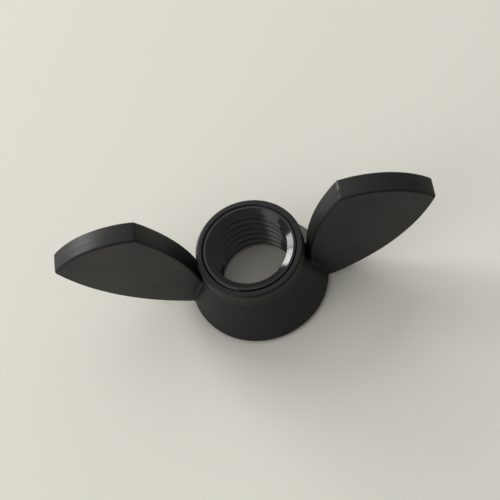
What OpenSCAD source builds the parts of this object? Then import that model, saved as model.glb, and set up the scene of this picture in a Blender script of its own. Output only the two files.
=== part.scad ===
// Wing nut, M16 coarse thread: a black moulded body (conical hub with two flat upright
// wings) round a threaded bush that runs right through the hub.
// Millimetres. Z is the thread axis and points up, z = 0 is the seating face that bears
// on the clamped work, and the wings lie in the XZ plane, one along +X and one along -X.

/* [Thread and bush] */
// Major diameter of the thread, which is the size of the stud or bolt (M16)
thread_major_d = 16; // [12:0.1:20]
// Pitch of the thread
thread_pitch = 2; // [1:0.25:2.5]
// Wall of the bush outside the thread's major diameter
bush_wall = 0.7; // [0.5:0.05:1.5]
// Step, on each side, from the round bush out to the corners of its locking collar
collar_step = 1.6; // [1:0.1:1.9]
// Length of the collar along the thread axis
collar_len = 3; // [1.5:0.1:4]
// Height of the collar's lower face above the seating face
collar_z = 2.2; // [1.5:0.1:3]

/* [Hub] */
// Height of the hub along the thread axis, which is also the length of the bush
hub_h = 13.6; // [12:0.1:18]
// Wall of the body round the bush, at the lip
lip_wall = 1.3; // [1.1:0.05:3]
// Height of the lip, its rounded top edge included
lip_h = 1.5; // [1:0.1:2]
// Edge radius round the top of the lip
lip_edge_r = 0.5; // [0.2:0.05:0.6]
// Depth by which the neck is waisted in under the lip, on each side
neck_depth = 0.4; // [0.1:0.05:0.6]
// Height of the conical skirt, up to where it runs into the neck
skirt_h = 9.2; // [7:0.1:10]
// Distance by which the foot of the skirt stands out beyond the lip, on each side
skirt_flare = 3.2; // [2.6:0.1:6]
// Edge radius round the foot of the skirt
foot_edge_r = 0.8; // [0.3:0.1:1.2]
// Width of the raised ring that bears on the clamped work, from the bush outwards
pad_w = 1.7; // [1:0.1:3]
// Height of that ring above the rest of the underside
pad_h = 0.25; // [0.1:0.05:0.5]

/* [Wings] */
// Distance from tip to tip across both wings
span = 68.2; // [56:0.2:84]
// Height of the tip, the outermost corner of a blade
tip_z = 21.9; // [18:0.1:26.4]
// Distance from the thread axis to the peak, the inner upper corner of a blade
peak_x = 17.7; // [14.6:0.1:21.4]
// Height of the peak
peak_z = 27.6; // [24:0.1:33.2]
// Thickness of a blade
wing_t = 4; // [3:0.1:6]
// How far the arc of a blade's top edge bows out from the straight line between peak and tip
top_bow = 2.4; // [1:0.1:3.5]
// How far the long arc of a blade's underside bows out from the straight line from root to tip
under_bow = 3.9; // [2:0.1:6]
// How far the arc of a blade's inner edge bows out from the straight line from root to peak
inner_bow = 2.9; // [1.5:0.1:4]

/* [Hidden] */
$fn = 96;

black_moulding = [0.07, 0.07, 0.075];
black_steel = [0.11, 0.11, 0.115];

cut = 1;                                        // how far a cutter runs past the face it opens
seam = 0.2;                                     // small chamfer on each side of the joint line
lead_in_clear = 0.1;                            // how far the lead-in cones open beyond the thread
lead_in_slope = 30;                             // their slope in degrees: countersunk to 120
thread_depth = 1.0825;                          // ISO nut thread, across both sides, in pitches
root_in = 2.9;                                  // how far the blade's root lies inside the foot
root_drop = 1.4;                                // and how far below the underside
blade_clear = 0.4;                              // how far a blade's inner end stays off the bush
foot_clear = 0.1;                               // and its lowest edge off the underside

thread_minor_d = thread_major_d - thread_depth * thread_pitch;
lead_in_d = thread_major_d + 2 * lead_in_clear;
lead_in_h = (lead_in_d - thread_minor_d) / 2 * tan(lead_in_slope);
lead_in_cut_d = lead_in_d + 2 * cut / tan(lead_in_slope);
bush_d = thread_major_d + 2 * bush_wall;
collar_d = bush_d + 2 * collar_step;

lip_r = bush_d / 2 + lip_wall;
neck_r = lip_r - neck_depth;
foot_r = lip_r + skirt_flare;
pad_r = bush_d / 2 + pad_w;
skirt_foot_z = pad_h + foot_edge_r;             // top of the rounded foot

// Corner points of a blade, as [distance from the axis, height]. The root point is buried
// in the hub: the inner arc and the underside arc would cross there.
tip = [span / 2, tip_z];
peak = [peak_x, peak_z];
root = [foot_r - root_in, pad_h - root_drop];
blade_in = bush_d / 2 + blade_clear;
blade_foot_z = pad_h + foot_clear;

// Radius of the arc that bows out by that much from a straight line of that length.
function bowed_r(straight, bow) = straight * straight / (8 * bow) + bow / 2;
// Centre of the circle of radius r through p and q, on the right-hand side of p to q.
function arc_centre(p, q, r) =
    let (d = q - p, l = norm(d), h = sqrt(r * r - l * l / 4))
    (p + q) / 2 + h / l * [d[1], -d[0]];

top_arc_r = bowed_r(norm(tip - peak), top_bow);
under_arc_r = bowed_r(norm(tip - root), under_bow);
inner_arc_r = bowed_r(norm(peak - root), inner_bow);
top_c = arc_centre(peak, tip, top_arc_r);
under_c = arc_centre(tip, root, under_arc_r);
inner_c = arc_centre(root, peak, inner_arc_r);

// The bush without its bore: what the body is moulded round, and so also the body's pocket.
module bush_outline(extra) {
    translate([0, 0, -extra]) cylinder(h = hub_h + 2 * extra, d = bush_d);
    translate([0, 0, collar_z]) cylinder(h = collar_len, d = collar_d, $fn = 8);
}

// Half section of the hub, turned round the thread axis.
module hub_section() {
    polygon([
        [0, 0], [pad_r, 0], [pad_r, pad_h], [foot_r - foot_edge_r, pad_h],
        [foot_r - foot_edge_r, skirt_foot_z], [foot_r, skirt_foot_z], [neck_r, skirt_h],
        [neck_r, hub_h - lip_h - neck_depth], [lip_r, hub_h - lip_h], [lip_r, hub_h - lip_edge_r],
        [lip_r - lip_edge_r, hub_h - lip_edge_r], [lip_r - lip_edge_r, hub_h], [0, hub_h]
    ]);
    translate([foot_r - foot_edge_r, skirt_foot_z]) circle(r = foot_edge_r);
    translate([lip_r - lip_edge_r, hub_h - lip_edge_r]) circle(r = lip_edge_r);
}

// Outline of one blade, drawn with x out along the wing and y up: the space inside all three
// arcs, cut off at the hub and just above the underside.
module blade_outline() {
    intersection() {
        union() {
            translate(top_c) circle(r = top_arc_r);
            // the top arc bounds the blade from above only
            translate([-span, 0]) square([2 * span, top_c[1]]);
        }
        translate(under_c) circle(r = under_arc_r);
        translate(inner_c) circle(r = inner_arc_r);
        translate([blade_in, blade_foot_z]) square([span, peak_z + span]);
    }
}

// One flat blade, of even thickness, along +X.
module blade() {
    rotate([90, 0, 0]) translate([0, 0, -wing_t / 2]) linear_extrude(height = wing_t) blade_outline();
}

// Hub and both wings, one moulding, with the pocket that holds the bush.
module wing_body() {
    color(black_moulding) difference() {
        union() {
            rotate_extrude() hub_section();
            blade();
            rotate([0, 0, 180]) blade();
        }
        bush_outline(cut);
        // chamfered mouth of the pocket, one side of the fine joint line round the bush
        translate([0, 0, hub_h - seam])
            cylinder(h = seam + cut, d1 = bush_d, d2 = bush_d + 2 * (seam + cut));
    }
}

// Threaded bush, held by its eight-sided collar. The bore is drawn at the thread's crests.
module threaded_bush() {
    color(black_steel) difference() {
        bush_outline(0);
        translate([0, 0, -cut]) cylinder(h = hub_h + 2 * cut, d = thread_minor_d);
        translate([0, 0, -cut])
            cylinder(h = cut + lead_in_h, d1 = lead_in_cut_d, d2 = thread_minor_d);
        translate([0, 0, hub_h - lead_in_h])
            cylinder(h = cut + lead_in_h, d1 = thread_minor_d, d2 = lead_in_cut_d);
        // chamfer round the top end, the other side of the joint line
        translate([0, 0, hub_h - seam]) difference() {
            cylinder(h = seam + cut, d = bush_d + 2 * cut);
            cylinder(h = seam + cut, d1 = bush_d, d2 = bush_d - 2 * (seam + cut));
        }
    }
}

wing_body();
threaded_bush();
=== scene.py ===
"""Wing nut, M16: a satin black moulded body with two flat wings, round a glossy black threaded bush.

Metres, in the row frame: the thread runs along Z, the seating face is at z = 0, and the wings
lie in the XZ plane. Sizes are written in millimetres and multiplied by MM where they meet a mesh.
"""

import math

import bmesh
import bpy
from mathutils import Matrix, Vector


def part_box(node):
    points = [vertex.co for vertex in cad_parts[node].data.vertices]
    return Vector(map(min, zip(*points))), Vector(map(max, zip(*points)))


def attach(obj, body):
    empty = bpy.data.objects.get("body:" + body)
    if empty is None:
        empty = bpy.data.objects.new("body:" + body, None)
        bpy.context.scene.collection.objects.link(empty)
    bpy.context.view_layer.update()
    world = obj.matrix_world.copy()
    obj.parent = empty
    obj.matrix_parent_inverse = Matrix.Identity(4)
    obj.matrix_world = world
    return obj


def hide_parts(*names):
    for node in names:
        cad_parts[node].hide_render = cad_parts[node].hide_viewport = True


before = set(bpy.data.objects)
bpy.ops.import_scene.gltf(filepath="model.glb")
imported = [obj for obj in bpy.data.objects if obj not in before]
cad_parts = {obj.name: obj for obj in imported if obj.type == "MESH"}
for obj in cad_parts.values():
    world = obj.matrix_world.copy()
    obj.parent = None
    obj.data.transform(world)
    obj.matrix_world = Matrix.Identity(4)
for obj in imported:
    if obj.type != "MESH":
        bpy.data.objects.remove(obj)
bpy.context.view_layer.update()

MM = 0.001


# ---------------------------------------------------------------- hub of the body moulding
# The body is one black moulding. Its hub is a cone on a rounded foot, waisted to a narrow neck
# under a rounded lip. The half section is turned round the thread axis as a solid, and the
# pocket for the bush is cut out of it once the wings are on.

body_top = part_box("wing_body")[1]
bush_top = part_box("threaded_bush")[1]

HUB_H = bush_top.z / MM
FOOT_R = body_top.y / MM
LIP_R = 10.0
LIP_H = 1.5
LIP_EDGE_R = 0.5
LIP_UNDER_R = 0.25
LIP_UNDER_RISE = 0.1
NECK_DEPTH = 0.4
NECK_R = LIP_R - NECK_DEPTH
SKIRT_H = 9.2
SKIRT_LEAN_DEG = 24
FOOT_EDGE_R = 0.8
PAD_R = 10.4
PAD_H = 0.25
PAD_EDGE = 0.08
BLEND_R = 2.0
HUB_STEPS = 160
EDGE_STEPS = 8
BLEND_STEPS = 6
UNDER_STEPS = 3
MERGE = 0.002 * MM  # points closer than this are one point
SLIVER = 0.001 * MM  # and edges shorter than this are dropped


def arc(centre, radius, start_deg, end_deg, steps):
    """Points along an arc in a plane, both ends included."""
    angles = [math.radians(start_deg + (end_deg - start_deg) * i / steps) for i in range(steps + 1)]
    return [(centre[0] + radius * math.cos(a), centre[1] + radius * math.sin(a)) for a in angles]


def turned(name, section):
    """A half section of (radius, height) points in mm, turned into a closed solid round Z."""
    bm = bmesh.new()
    verts = [bm.verts.new((r * MM, 0.0, z * MM)) for r, z in section]
    edges = [bm.edges.new(pair) for pair in zip(verts, verts[1:])]
    bmesh.ops.spin(
        bm, geom=verts + edges, cent=(0, 0, 0), axis=(0, 0, 1),
        angle=2 * math.pi, steps=HUB_STEPS, use_merge=True, use_duplicate=False,
    )
    return finished(name, bm)


def finished(name, bm):
    """Closes seams and poles, turns faces outwards and makes the object."""
    bmesh.ops.remove_doubles(bm, verts=bm.verts, dist=MERGE)
    bmesh.ops.dissolve_degenerate(bm, edges=bm.edges, dist=SLIVER)
    bmesh.ops.recalc_face_normals(bm, faces=bm.faces)
    mesh = bpy.data.meshes.new(name)
    bm.to_mesh(mesh)
    bm.free()
    piece = bpy.data.objects.new(name, mesh)
    bpy.context.scene.collection.objects.link(piece)
    return piece


def skirt_blend():
    """Concave arc between the cone of the skirt and the upright neck, lowest point first."""
    half = math.atan2(FOOT_R - NECK_R, SKIRT_H - PAD_H - FOOT_EDGE_R) / 2
    run = BLEND_R * math.tan(half)
    centre = (NECK_R + BLEND_R, SKIRT_H + run)
    return arc(centre, BLEND_R, 180 + math.degrees(2 * half), 180, BLEND_STEPS)


hub_section = (
    [(0, 0), (PAD_R - PAD_EDGE, 0), (PAD_R, PAD_EDGE), (PAD_R, PAD_H)]
    + arc((FOOT_R - FOOT_EDGE_R, PAD_H + FOOT_EDGE_R), FOOT_EDGE_R, -90, SKIRT_LEAN_DEG, EDGE_STEPS)
    + skirt_blend()
    + [(NECK_R, HUB_H - LIP_H - NECK_DEPTH)]
    + arc((LIP_R - LIP_UNDER_R, HUB_H - LIP_H + LIP_UNDER_RISE), LIP_UNDER_R, -45, 0, UNDER_STEPS)
    + arc((LIP_R - LIP_EDGE_R, HUB_H - LIP_EDGE_R), LIP_EDGE_R, 0, 90, EDGE_STEPS)
    + [(0, HUB_H)]
)
body = turned("wing_body_visual", hub_section)


# ---------------------------------------------------------------- wings of the body moulding
# Two flat blades of even thickness, moulded with the hub. Each outline is three arcs that meet
# at a crisp peak and a blunted tip. Edges are rounded, a fine flash line from the mould's joint
# runs round the middle of the edge, and a small fillet joins the blade to the skirt.

TIP_Z = 21.9
TIP = Vector((body_top.x / MM, TIP_Z))
PEAK = Vector((17.7, 27.6))
ROOT_IN = 2.9
ROOT_DROP = 1.4
ROOT = Vector((FOOT_R - ROOT_IN, PAD_H - ROOT_DROP))
TOP_BOW = 2.4
UNDER_BOW = 3.9
INNER_BOW = 2.9
TIP_R = 0.7
WING_T = 4.0
WING_EDGE_R = 0.45
WING_EDGE_STEPS = 5
PEAK_EDGE = 0.3
PEAK_EDGE_STEPS = 3
WING_BOTTOM_GAP = 0.1
WING_BOTTOM = PAD_H + WING_BOTTOM_GAP
FLASH_W = 0.13
FLASH_H = 0.045
INSET = 0.015  # keeps the crest of the flash line just inside the blade's nominal outline
UNDER_ARC_STEPS = 40
TIP_ARC_STEPS = 7
TOP_ARC_STEPS = 28
INNER_ARC_STEPS = 24
TOUCH = 0.01 * MM
SQUARE_TURN = 1.0  # radians: the edges between a flat side and the rim turn more than this
PEAK_TURN = 0.6  # radians: along the rim only the peak turns more than this
PEAK_ZONE = 0.9  # and it lies above this share of its height
FILLET_R = 0.5
FILLET_FADE_Z = 1.2
FILLET_CUT_SHARES = (1, 0.72, 0.5, 0.32, 0.18, 0.08, 0.02)  # closer together where it curves
FADE_CUT_HEIGHTS = (0.6, 0.9, FILLET_FADE_Z)


def bowed(p, q, bow):
    """Centre of the arc that bows out by that much from p to q, and its radius less the flash."""
    d = q - p
    radius = d.length_squared / (8 * bow) + bow / 2
    centre = (p + q) / 2 + Vector((d.y, -d.x)).normalized() * (radius - bow)
    return centre, radius - FLASH_H - INSET


def circles_cross(a, ra, b, rb):
    """Where two circles cross, on the right-hand side of a to b."""
    d = b - a
    x = (d.length_squared + ra**2 - rb**2) / (2 * d.length)
    h = math.sqrt(ra**2 - x**2)
    u = d.normalized()
    return a + u * x + Vector((u.y, -u.x)) * h


def sweep(centre, radius, start, end, steps):
    """Points on a circle from near start to near end, the short way round."""
    a0 = math.atan2(start.y - centre.y, start.x - centre.x)
    a1 = math.atan2(end.y - centre.y, end.x - centre.x)
    turn = (a1 - a0 + math.pi) % (2 * math.pi) - math.pi
    return arc(centre, radius, math.degrees(a0), math.degrees(a0 + turn), steps)


def blade_outline():
    """The blade's outline as (x, z) points in mm, from the underside's foot round to the inner foot."""
    top_c, top_r = bowed(PEAK, TIP, TOP_BOW)
    under_c, under_r = bowed(TIP, ROOT, UNDER_BOW)
    inner_c, inner_r = bowed(ROOT, PEAK, INNER_BOW)
    tip_c = circles_cross(top_c, top_r - TIP_R, under_c, under_r - TIP_R)
    tip_top = top_c + (tip_c - top_c).normalized() * top_r
    tip_under = under_c + (tip_c - under_c).normalized() * under_r
    peak = circles_cross(top_c, top_r, inner_c, inner_r)
    if peak.y < TIP.y:
        peak = circles_cross(inner_c, inner_r, top_c, top_r)
    drop = WING_BOTTOM - under_c.y
    under_foot = Vector((under_c.x + math.sqrt(under_r**2 - drop**2), WING_BOTTOM))
    drop = WING_BOTTOM - inner_c.y
    inner_foot = Vector((inner_c.x - math.sqrt(inner_r**2 - drop**2), WING_BOTTOM))
    return (
        sweep(under_c, under_r, under_foot, tip_under, UNDER_ARC_STEPS)
        + sweep(tip_c, TIP_R, tip_under, tip_top, TIP_ARC_STEPS)[1:-1]
        + sweep(top_c, top_r, tip_top, peak, TOP_ARC_STEPS)
        + sweep(inner_c, inner_r, peak, inner_foot, INNER_ARC_STEPS)[1:]
    )


def blade(name):
    """One closed blade along +X."""
    bm = bmesh.new()
    half = WING_T / 2
    ring = [bm.verts.new((x * MM, -half * MM, z * MM)) for x, z in blade_outline()]
    layer = [bm.faces.new(ring)]
    y = -half
    for next_y in (-FLASH_W, 0.0, FLASH_W, half):
        grown = bmesh.ops.extrude_face_region(bm, geom=layer)["geom"]
        moved = [v for v in grown if isinstance(v, bmesh.types.BMVert)]
        bmesh.ops.translate(bm, verts=moved, vec=(0, (next_y - y) * MM, 0))
        inside = [] if y == -half else layer
        layer = [f for f in grown if isinstance(f, bmesh.types.BMFace)]
        bmesh.ops.delete(bm, geom=inside, context="FACES_ONLY")
        y = next_y
    bmesh.ops.recalc_face_normals(bm, faces=bm.faces)
    peak_corner = [
        e for e in bm.edges
        if abs(e.verts[0].co.y - e.verts[1].co.y) > TOUCH and e.calc_face_angle(0) > PEAK_TURN
        and e.verts[0].co.z > PEAK.y * PEAK_ZONE * MM
    ]
    bmesh.ops.bevel(
        bm, geom=peak_corner, affect="EDGES", offset=PEAK_EDGE * MM, segments=PEAK_EDGE_STEPS,
        profile=0.5, material=-1,
    )
    rim = [
        e for e in bm.edges
        if all(abs(abs(v.co.y) - half * MM) < TOUCH for v in e.verts)
        and e.calc_face_angle(0) > SQUARE_TURN
    ]
    bmesh.ops.bevel(
        bm, geom=rim, affect="EDGES", offset=WING_EDGE_R * MM, segments=WING_EDGE_STEPS,
        profile=0.5, material=-1,
    )
    bm.normal_update()
    for v in bm.verts:
        if abs(v.co.y) < TOUCH:
            v.co += Vector((v.normal.x, 0, v.normal.z)).normalized() * FLASH_H * MM
    fillet(bm)
    return finished(name, bm)


def fillet(bm):
    """Thickens the blade towards the skirt, as a ball rolled along the corner would leave it."""
    side = WING_T / 2 + FILLET_R

    def ball_x(hub_r):
        """Where a ball that touches both the blade and a hub of that radius has its centre."""
        return math.sqrt((hub_r + FILLET_R) ** 2 - side**2) - FILLET_R

    foot = Vector((ball_x(FOOT_R), 0, PAD_H + FOOT_EDGE_R)) * MM
    neck = Vector((ball_x(NECK_R), 0, SKIRT_H)) * MM
    slope = (neck - foot).normalized()
    out = Vector((slope.z, 0, -slope.x))
    most = FILLET_R * (1 - 2 * side / (FOOT_R + NECK_R + 2 * FILLET_R))
    cuts = [(foot + out * (FILLET_R * share * MM), out) for share in FILLET_CUT_SHARES]
    cuts += [(Vector((0, 0, z * MM)), Vector((0, 0, 1))) for z in FADE_CUT_HEIGHTS]
    for place, normal in cuts:
        bmesh.ops.bisect_plane(
            bm, geom=bm.verts[:] + bm.edges[:] + bm.faces[:],
            plane_co=place, plane_no=normal, dist=SLIVER,
        )
    for v in bm.verts:
        reach = (v.co - foot).dot(out) / MM
        if reach < FILLET_R:
            gap = FILLET_R - max(reach, 0.0)
            grow = min(FILLET_R - math.sqrt(FILLET_R**2 - gap**2), most)
            fade = min(max((v.co.z / MM - WING_BOTTOM) / (FILLET_FADE_Z - WING_BOTTOM), 0.0), 1.0)
            v.co.y *= 1 + grow * fade * (2 - fade) / (WING_T / 2)


def combine(target, tool, operation):
    """Joins or cuts target with tool, and removes the tool."""
    change = target.modifiers.new(operation, "BOOLEAN")
    change.operation = operation
    change.solver = "EXACT"
    change.object = tool
    bpy.context.view_layer.update()
    seen = target.evaluated_get(bpy.context.evaluated_depsgraph_get())
    result = bpy.data.meshes.new_from_object(seen)
    target.modifiers.remove(change)
    old = target.data
    target.data = result
    bpy.data.meshes.remove(old)
    bpy.data.objects.remove(tool)


right_wing = blade("right_wing")
left_wing = blade("left_wing")
left_wing.data.transform(Matrix.Rotation(math.pi, 4, "Z"))
combine(body, right_wing, "UNION")
combine(body, left_wing, "UNION")

BUSH_R = 8.7
COLLAR_R = 10.3
COLLAR_Z = 2.2
COLLAR_LEN = 3.0
COLLAR_SIDES = 8
SEAM = 0.22
PAST = 1.0  # how far a cutter runs past the face it opens


def collar(name):
    """The bush's eight-sided locking collar, buried in the moulding."""
    bm = bmesh.new()
    bmesh.ops.create_cone(
        bm, cap_ends=True, segments=COLLAR_SIDES, radius1=COLLAR_R * MM, radius2=COLLAR_R * MM,
        depth=COLLAR_LEN * MM, matrix=Matrix.Translation((0, 0, (COLLAR_Z + COLLAR_LEN / 2) * MM)),
    )
    return finished(name, bm)


pocket = turned("pocket", [
    (0, -PAST), (BUSH_R, -PAST), (BUSH_R, HUB_H - SEAM),
    (BUSH_R + SEAM + PAST, HUB_H + PAST), (0, HUB_H + PAST),
])
combine(body, pocket, "DIFFERENCE")
combine(body, collar("collar_pocket"), "DIFFERENCE")


FLAT_WEIGHT = 90
BODY_SHARP_DEG = 40


def shade_smooth(piece, sharp_deg):
    """Smooth shading that keeps real corners sharp and flat faces flat."""
    mesh = piece.data
    mesh.polygons.foreach_set("use_smooth", [True] * len(mesh.polygons))
    mesh.set_sharp_from_angle(angle=math.radians(sharp_deg))
    weigh = piece.modifiers.new("flat_faces", "WEIGHTED_NORMAL")
    weigh.keep_sharp = True
    weigh.weight = FLAT_WEIGHT


shade_smooth(body, BODY_SHARP_DEG)


# ---------------------------------------------------------------- finish of the moulding
# Black glass-filled nylon out of a spark-eroded mould: a satin skin with a faint even grain.
# Handling has rubbed its outer edges smoother and a shade greyer, and fine dust sits on it.

MOULDING_COLOUR = (0.0045, 0.0045, 0.0048, 1)
MOULDING_WORN = (0.028, 0.028, 0.029, 1)
DUST_COLOUR = (0.30, 0.29, 0.27, 1)
DUST_SIZE = 0.4
WEAR_BREAK_SIZE = 2.5
PATCH_TINT = 0.12
WEAR_GLOSS = 0.34


def skin_group():
    """Grain, slow patches, rubbed outer edges and dust specks, which both black finishes share."""
    group = bpy.data.node_groups.new("rubbed_skin", "ShaderNodeTree")
    face = group.interface
    for label in ("Grain mm", "Patch mm", "Rough low", "Rough high", "Edge mm", "Edge wear", "Dust"):
        face.new_socket(name=label, in_out="INPUT", socket_type="NodeSocketFloat")
    for label in ("Colour", "Worn colour"):
        face.new_socket(name=label, in_out="INPUT", socket_type="NodeSocketColor")
    face.new_socket(name="Colour", in_out="OUTPUT", socket_type="NodeSocketColor")
    face.new_socket(name="Roughness", in_out="OUTPUT", socket_type="NodeSocketFloat")
    face.new_socket(name="Height", in_out="OUTPUT", socket_type="NodeSocketFloat")

    nodes, links = group.nodes, group.links
    given = nodes.new("NodeGroupInput").outputs
    result = nodes.new("NodeGroupOutput").inputs
    place = nodes.new("ShaderNodeTexCoord").outputs["Object"]

    def feed(socket, source):
        if isinstance(source, bpy.types.NodeSocket):
            links.new(source, socket)
        else:
            socket.default_value = source

    def maths(kind, a, b):
        node = nodes.new("ShaderNodeMath")
        node.operation = kind
        feed(node.inputs[0], a)
        feed(node.inputs[1], b)
        return node.outputs[0]

    def ramp(value, low, high, to_low=0.0, to_high=1.0):
        node = nodes.new("ShaderNodeMapRange")
        for label, source in (("Value", value), ("From Min", low), ("From Max", high),
                              ("To Min", to_low), ("To Max", to_high)):
            feed(node.inputs[label], source)
        return node.outputs["Result"]

    def noise(size_mm, detail):
        node = nodes.new("ShaderNodeTexNoise")
        node.inputs["Detail"].default_value = detail
        links.new(place, node.inputs["Vector"])
        feed(node.inputs["Scale"], maths("DIVIDE", 1 / MM, size_mm))
        return node.outputs["Fac"]

    def mixed(share, a, b):
        node = nodes.new("ShaderNodeMix")
        node.data_type = "RGBA"
        for label, source in (("Factor", share), ("A", a), ("B", b)):
            feed(next(s for s in node.inputs if s.name == label and s.enabled), source)
        return next(s for s in node.outputs if s.enabled)

    def rubbed_edges():
        """Bright on rounded outer edges, broken up by noise, and black on faces and in corners."""
        rounded = nodes.new("ShaderNodeBevel")
        rounded.samples = 6
        feed(rounded.inputs["Radius"], maths("MULTIPLY", given["Edge mm"], MM))
        lean = nodes.new("ShaderNodeVectorMath")
        lean.operation = "DOT_PRODUCT"
        links.new(rounded.outputs["Normal"], lean.inputs[0])
        links.new(nodes.new("ShaderNodeNewGeometry").outputs["True Normal"], lean.inputs[1])
        bent = ramp(maths("SUBTRACT", 1.0, lean.outputs["Value"]), 0.01, 0.12)
        opening = nodes.new("ShaderNodeAmbientOcclusion")
        opening.samples = 6
        opening.inputs["Distance"].default_value = 2 * MM
        outer = ramp(opening.outputs["AO"], 0.55, 0.85)
        patchy = ramp(noise(WEAR_BREAK_SIZE, 5.0), 0.38, 0.62)
        return maths("MULTIPLY", maths("MULTIPLY", bent, outer), patchy)

    wear = maths("MULTIPLY", rubbed_edges(), given["Edge wear"])
    specks = maths("MULTIPLY", ramp(noise(DUST_SIZE, 1.0), 0.72, 0.78), given["Dust"])
    patches = ramp(noise(given["Patch mm"], 4.0), 0.35, 0.65)
    skin_rough = ramp(patches, 0.0, 1.0, given["Rough low"], given["Rough high"])
    tinted = mixed(maths("MULTIPLY", patches, PATCH_TINT), given["Colour"], given["Worn colour"])
    colour = mixed(wear, tinted, given["Worn colour"])
    links.new(mixed(specks, colour, DUST_COLOUR), result["Colour"])
    links.new(maths("SUBTRACT", skin_rough, maths("MULTIPLY", wear, WEAR_GLOSS)), result["Roughness"])
    links.new(noise(given["Grain mm"], 2.0), result["Height"])
    return group


skin = skin_group()


def black_finish(name, colour, worn, values, bump_mm, bump_strength):
    """A material whose colour, roughness and grain come from the rubbed skin. Returns its shader too."""
    material = bpy.data.materials.new(name)
    material.use_nodes = True
    nodes, links = material.node_tree.nodes, material.node_tree.links
    shader = nodes["Principled BSDF"]
    surface = nodes.new("ShaderNodeGroup")
    surface.node_tree = skin
    surface.inputs["Colour"].default_value = colour
    surface.inputs["Worn colour"].default_value = worn
    for label, value in values.items():
        surface.inputs[label].default_value = value
    bump = nodes.new("ShaderNodeBump")
    bump.inputs["Distance"].default_value = bump_mm * MM
    bump.inputs["Strength"].default_value = bump_strength
    links.new(surface.outputs["Colour"], shader.inputs["Base Color"])
    links.new(surface.outputs["Roughness"], shader.inputs["Roughness"])
    links.new(surface.outputs["Height"], bump.inputs["Height"])
    links.new(bump.outputs["Normal"], shader.inputs["Normal"])
    return material, shader


moulding, moulding_shader = black_finish(
    "satin_black_moulding", MOULDING_COLOUR, MOULDING_WORN,
    {"Grain mm": 0.22, "Patch mm": 9.0, "Rough low": 0.42, "Rough high": 0.52,
     "Edge mm": 0.35, "Edge wear": 0.7, "Dust": 0.12},
    bump_mm=0.02, bump_strength=0.25,
)
moulding_shader.inputs["IOR"].default_value = 1.42
body.data.materials.clear()
body.data.materials.append(moulding)
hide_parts("wing_body")
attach(body, "root")


# ---------------------------------------------------------------- threaded bush
# A short steel bush with an M16 x 2 right-hand thread cut right through and a lead-in cone at
# each end, blackened and glossy. Its eight-sided collar is buried in the moulding.

THREAD_R = 8.0
PITCH = 2.0
THREAD_DEPTH = 1.0825  # across both sides, in pitches
MINOR_R = THREAD_R - THREAD_DEPTH * PITCH / 2
LEAD_IN_CLEAR = 0.1
LEAD_IN_R = THREAD_R + LEAD_IN_CLEAR
LEAD_IN_SLOPE = math.tan(math.radians(30))  # countersunk to 120 degrees
LEAD_IN_INSIDE = 0.5  # how far the cone's cutter reaches inside the thread's crests
THREAD_STEPS = 96
THREAD_MERGE = 0.005 * MM
CORE_R = 11.0  # any radius clear of the thread
BUSH_SHARP_DEG = 30

bush = turned(
    "threaded_bush_visual",
    [(0, 0), (BUSH_R, 0), (BUSH_R, HUB_H - SEAM), (BUSH_R - SEAM, HUB_H), (0, HUB_H)],
)
combine(bush, collar("collar"), "UNION")


def thread_core(name):
    """A solid screw of the nut's thread form, right-handed and longer than the bush at each end."""
    crest, root = PITCH / 8, PITCH / 16
    spare_turns = 1.5
    turns = math.ceil(HUB_H / PITCH) + int(2 * spare_turns)
    low = -spare_turns * PITCH
    form = [
        (MINOR_R, 0.0), (MINOR_R, 2 * crest), (THREAD_R, PITCH / 2 + crest - root),
        (THREAD_R, PITCH / 2 + crest + root), (MINOR_R, PITCH),
    ]
    bm = bmesh.new()
    verts = [bm.verts.new((r * MM, 0, (low + z) * MM)) for r, z in form]
    edges = [bm.edges.new(pair) for pair in zip(verts, verts[1:])]
    bmesh.ops.spin(
        bm, geom=verts + edges, cent=(0, 0, 0), axis=(0, 0, 1), angle=2 * math.pi * turns,
        steps=THREAD_STEPS * turns, dvec=(0, 0, PITCH / THREAD_STEPS * MM),
        use_merge=False, use_duplicate=False,
    )
    bmesh.ops.remove_doubles(bm, verts=bm.verts, dist=THREAD_MERGE)
    bmesh.ops.holes_fill(bm, edges=[e for e in bm.edges if e.is_boundary], sides=0)
    return finished(name, bm)


core = thread_core("thread_core")
core_limits = turned(
    "core_limits", [(0, -PAST), (CORE_R, -PAST), (CORE_R, HUB_H + PAST), (0, HUB_H + PAST)],
)
combine(core, core_limits, "INTERSECT")
combine(bush, core, "DIFFERENCE")
for end, way in ((0.0, 1), (HUB_H, -1)):
    inner_r = MINOR_R - LEAD_IN_INSIDE
    outer_r = LEAD_IN_R + PAST / LEAD_IN_SLOPE
    bottom = end + way * (LEAD_IN_R - inner_r) * LEAD_IN_SLOPE
    mouth = end - way * PAST
    cone = turned("lead_in", [(0, mouth), (outer_r, mouth), (inner_r, bottom), (0, bottom)])
    combine(bush, cone, "DIFFERENCE")
shade_smooth(bush, BUSH_SHARP_DEG)

STEEL_COLOUR = (0.036, 0.036, 0.037, 1)
STEEL_WORN = (0.10, 0.098, 0.095, 1)
blackened, blackened_shader = black_finish(
    "glossy_blackened_steel", STEEL_COLOUR, STEEL_WORN,
    {"Grain mm": 0.12, "Patch mm": 4.0, "Rough low": 0.10, "Rough high": 0.17,
     "Edge mm": 0.12, "Edge wear": 0.5, "Dust": 0.05},
    bump_mm=0.01, bump_strength=0.2,
)
blackened_shader.inputs["Metallic"].default_value = 1.0
bush.data.materials.clear()
bush.data.materials.append(blackened)
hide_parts("threaded_bush")
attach(bush, "root")


# ---------------------------------------------------------------- floor, light and camera
# A plain pale floor, soft lights behind on the left at three heights with a wide weak fill in
# front, a room that is lightest overhead and behind, and a camera looking steeply down.

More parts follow.
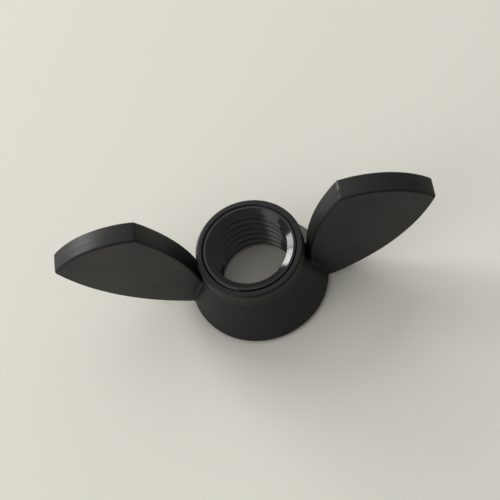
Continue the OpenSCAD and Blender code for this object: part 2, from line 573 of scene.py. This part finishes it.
FLOOR_HALF = 1.5
FLOOR_COLOUR = (0.86, 0.85, 0.775, 1)
FLOOR_ROUGH = 0.9
bm = bmesh.new()
bmesh.ops.create_grid(bm, x_segments=1, y_segments=1, size=FLOOR_HALF)
floor = finished("floor", bm)
paper = bpy.data.materials.new("pale_floor")
paper.use_nodes = True
paper_shader = paper.node_tree.nodes["Principled BSDF"]
paper_shader.inputs["Base Color"].default_value = FLOOR_COLOUR
paper_shader.inputs["Roughness"].default_value = FLOOR_ROUGH
floor.data.materials.append(paper)


def soft_light(name, place, width, watts, colour):
    """A square area light that faces the nut."""
    lamp = bpy.data.lights.new(name, "AREA")
    lamp.size = width
    lamp.energy = watts
    lamp.color = colour
    stand = bpy.data.objects.new(name, lamp)
    stand.location = place
    stand.rotation_euler = (-Vector(place)).to_track_quat("-Z", "Y").to_euler()
    bpy.context.scene.collection.objects.link(stand)


soft_light("window", (-0.76, 0.50, 0.48), 0.30, 3.2, (1.0, 0.99, 0.96))
soft_light("low", (-0.64, 0.75, 0.20), 0.28, 3.6, (1.0, 0.99, 0.97))
soft_light("high", (-0.22, 0.60, 0.75), 0.50, 0.4, (0.98, 0.99, 1.0))
soft_light("fill", (-0.75, -0.45, 0.55), 0.80, 2.6, (1.0, 0.99, 0.97))

# The room is dim, lightest overhead and a little behind. The camera itself sees a pale wall.
ROOM_COLOUR = (0.80, 0.79, 0.77, 1)
ROOM_LIGHTEST = (-0.15, 0.42, 0.895)
ROOM_DARK_FROM = -0.05
ROOM_DARK = 0.02
ROOM_LIGHT = 0.92
PALE_WALL = 0.85
world = bpy.data.worlds.new("room")
bpy.context.scene.world = world
world.use_nodes = True
room_nodes, room_links = world.node_tree.nodes, world.node_tree.links
facing = room_nodes.new("ShaderNodeVectorMath")
facing.operation = "DOT_PRODUCT"
facing.inputs[1].default_value = ROOM_LIGHTEST
room_links.new(room_nodes.new("ShaderNodeTexCoord").outputs["Generated"], facing.inputs[0])
dimming = room_nodes.new("ShaderNodeMapRange")
dimming.inputs["From Min"].default_value = ROOM_DARK_FROM
dimming.inputs["To Min"].default_value = ROOM_DARK
dimming.inputs["To Max"].default_value = ROOM_LIGHT
room_links.new(facing.outputs["Value"], dimming.inputs["Value"])
seen = room_nodes.new("ShaderNodeMix")
seen.inputs["B"].default_value = PALE_WALL
room_links.new(room_nodes.new("ShaderNodeLightPath").outputs["Is Camera Ray"], seen.inputs["Factor"])
room_links.new(dimming.outputs["Result"], seen.inputs["A"])
room_links.new(seen.outputs["Result"], room_nodes["Background"].inputs["Strength"])
room_nodes["Background"].inputs["Color"].default_value = ROOM_COLOUR

CAMERA_AZIMUTH = math.radians(10.4)
CAMERA_ELEVATION = math.radians(61.6)
CAMERA_ROLL = math.radians(-20.5)
CAMERA_DISTANCE = 0.200
CAMERA_LENS = 79
LOOK_AT = Vector((0, 0, 12.5)) * MM

camera_data = bpy.data.cameras.new("camera")
camera_data.lens = CAMERA_LENS
camera_data.clip_start = 0.01
camera = bpy.data.objects.new("camera", camera_data)
toward_camera = Vector((
    math.cos(CAMERA_ELEVATION) * math.sin(CAMERA_AZIMUTH),
    -math.cos(CAMERA_ELEVATION) * math.cos(CAMERA_AZIMUTH),
    math.sin(CAMERA_ELEVATION),
))
turn = toward_camera.to_track_quat("Z", "Y").to_matrix() @ Matrix.Rotation(CAMERA_ROLL, 3, "Z")
camera.matrix_world = Matrix.Translation(LOOK_AT + toward_camera * CAMERA_DISTANCE) @ turn.to_4x4()
bpy.context.scene.collection.objects.link(camera)
bpy.context.scene.camera = camera
bpy.context.scene.view_settings.view_transform = "Standard"
